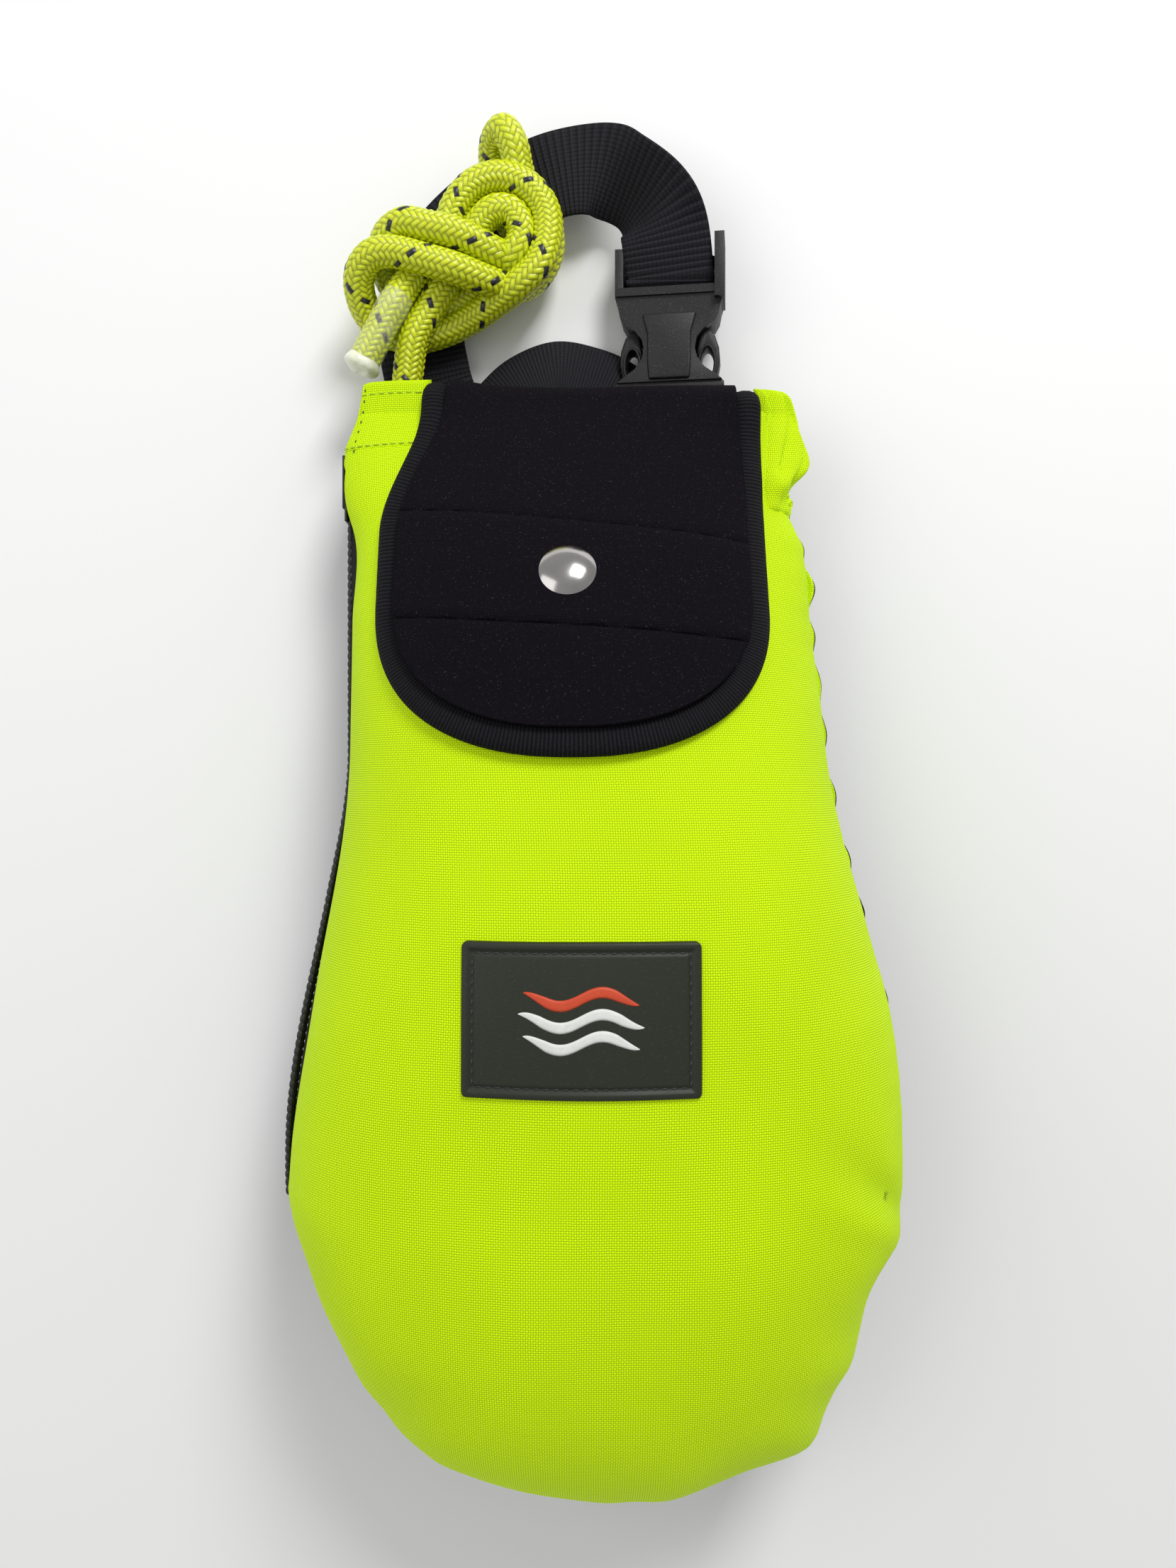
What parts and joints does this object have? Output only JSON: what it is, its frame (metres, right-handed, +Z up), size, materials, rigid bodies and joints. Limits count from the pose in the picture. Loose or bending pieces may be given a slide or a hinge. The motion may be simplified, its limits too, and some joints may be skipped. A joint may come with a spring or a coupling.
{
  "type": "throw rope bag",
  "caption": "Pear-shaped rescue throw bag on its back: side zip, snapped flap over the mouth, webbing handle with side-release buckle, knotted floating rope.",
  "frame": {"origin": "on the flat of the back, under the middle of the belly", "axes": "+Z up and out of the front, +Y from the belly towards the mouth and the handle, +X to the right seen from the front"},
  "size_m": [0.1558, 0.3621, 0.0778],
  "materials": {
    "lime_cloth": "woven, coated",
    "black_cloth": "woven, coated",
    "neoprene": "fine jersey face",
    "binding_knit": "ribbed knit",
    "webbing": "ribbed nylon weave",
    "zip_cloth": "flat woven tape",
    "zip_plastic": "polished monofilament",
    "buckle_plastic": "fine spark texture",
    "nickel": "polished nickel",
    "label_rubber": "moulded, satin",
    "rope_braid": "glossy polypropylene braid",
    "clear_sleeve": "clear shrink tube",
    "melted_end": "melted, translucent",
    "foam": "closed-cell foam"
  },
  "bodies": {
    "bag": {"front_panel": "lime_cloth", "back_panel": "black_cloth", "mouth_hem_left": "lime_cloth", "mouth_hem_right": "lime_cloth", "back_hem_strap": "webbing", "float_pad": "foam", "anchor_loop": "webbing", "zip_tape_front": "zip_cloth", "zip_tape_back": "zip_cloth", "zip_coil_front": "zip_plastic", "zip_coil_back": "zip_plastic", "zip_top_stops": "zip_plastic", "zip_bottom_stop": "zip_plastic", "snap_stud": "nickel", "snap_post": "nickel", "label_patch": "label_rubber", "handle_webbing": "webbing", "buckle_strap": "webbing", "buckle_plug": "buckle_plastic", "rope_pile": "rope_braid", "rope_line": "rope_braid", "rope_knot": "rope_braid", "rope_tail": "rope_braid", "end_sleeve": "clear_sleeve", "rope_end": "melted_end", "anchor_knot": "rope_braid"},
    "flap": {"flap_panel": "neoprene", "flap_binding": "binding_knit", "flap_reinforcement": "neoprene", "snap_cap": "nickel", "snap_socket": "nickel"},
    "socket": {"buckle_socket": "buckle_plastic"},
    "left_arm": {"release_arm_left": "buckle_plastic"},
    "right_arm": {"release_arm_right": "buckle_plastic"},
    "slider": {"zip_slider": "zip_plastic"},
    "pull_tab": {"zip_pull_tab": "zip_plastic"}
  },
  "joints": [
    {"name": "flap_open", "type": "hinge", "parent": "bag", "child": "flap", "pos_m": [0, 0.1575, 0.0207], "axis": [-1, 0, 0], "range_deg": [0, 100]},
    {"name": "buckle_release", "type": "slide", "parent": "bag", "child": "socket", "axis": [0, 1, 0], "range_m": [0, 0.024], "deforming": ["handle_webbing", "release_arm_left", "release_arm_right"]},
    {"name": "left_arm_squeeze", "type": "hinge", "parent": "bag", "child": "left_arm", "pos_m": [0.01349, 0.17, 0.00666], "axis": [0.1392, 0, -0.9903], "range_deg": [0, 8], "stiffness_Nm_per_rad": 0.6},
    {"name": "right_arm_squeeze", "type": "hinge", "parent": "bag", "child": "right_arm", "pos_m": [0.03251, 0.17, 0.00934], "axis": [-0.1392, 0, 0.9903], "range_deg": [0, 8], "stiffness_Nm_per_rad": 0.6},
    {"name": "zip_slide", "type": "slide", "parent": "bag", "child": "slider", "axis": [0, -1, 0], "range_m": [0, 0.06]},
    {"name": "pull_tab_swing", "type": "hinge", "parent": "slider", "child": "pull_tab", "pos_m": [-0.0657, 0.134, 0.022], "axis": [0, 0, 1], "range_deg": [0, 165]}
  ],
  "couplings": [
    {"joint": "right_arm_squeeze", "follows": "left_arm_squeeze", "ratio": 1}
  ]
}
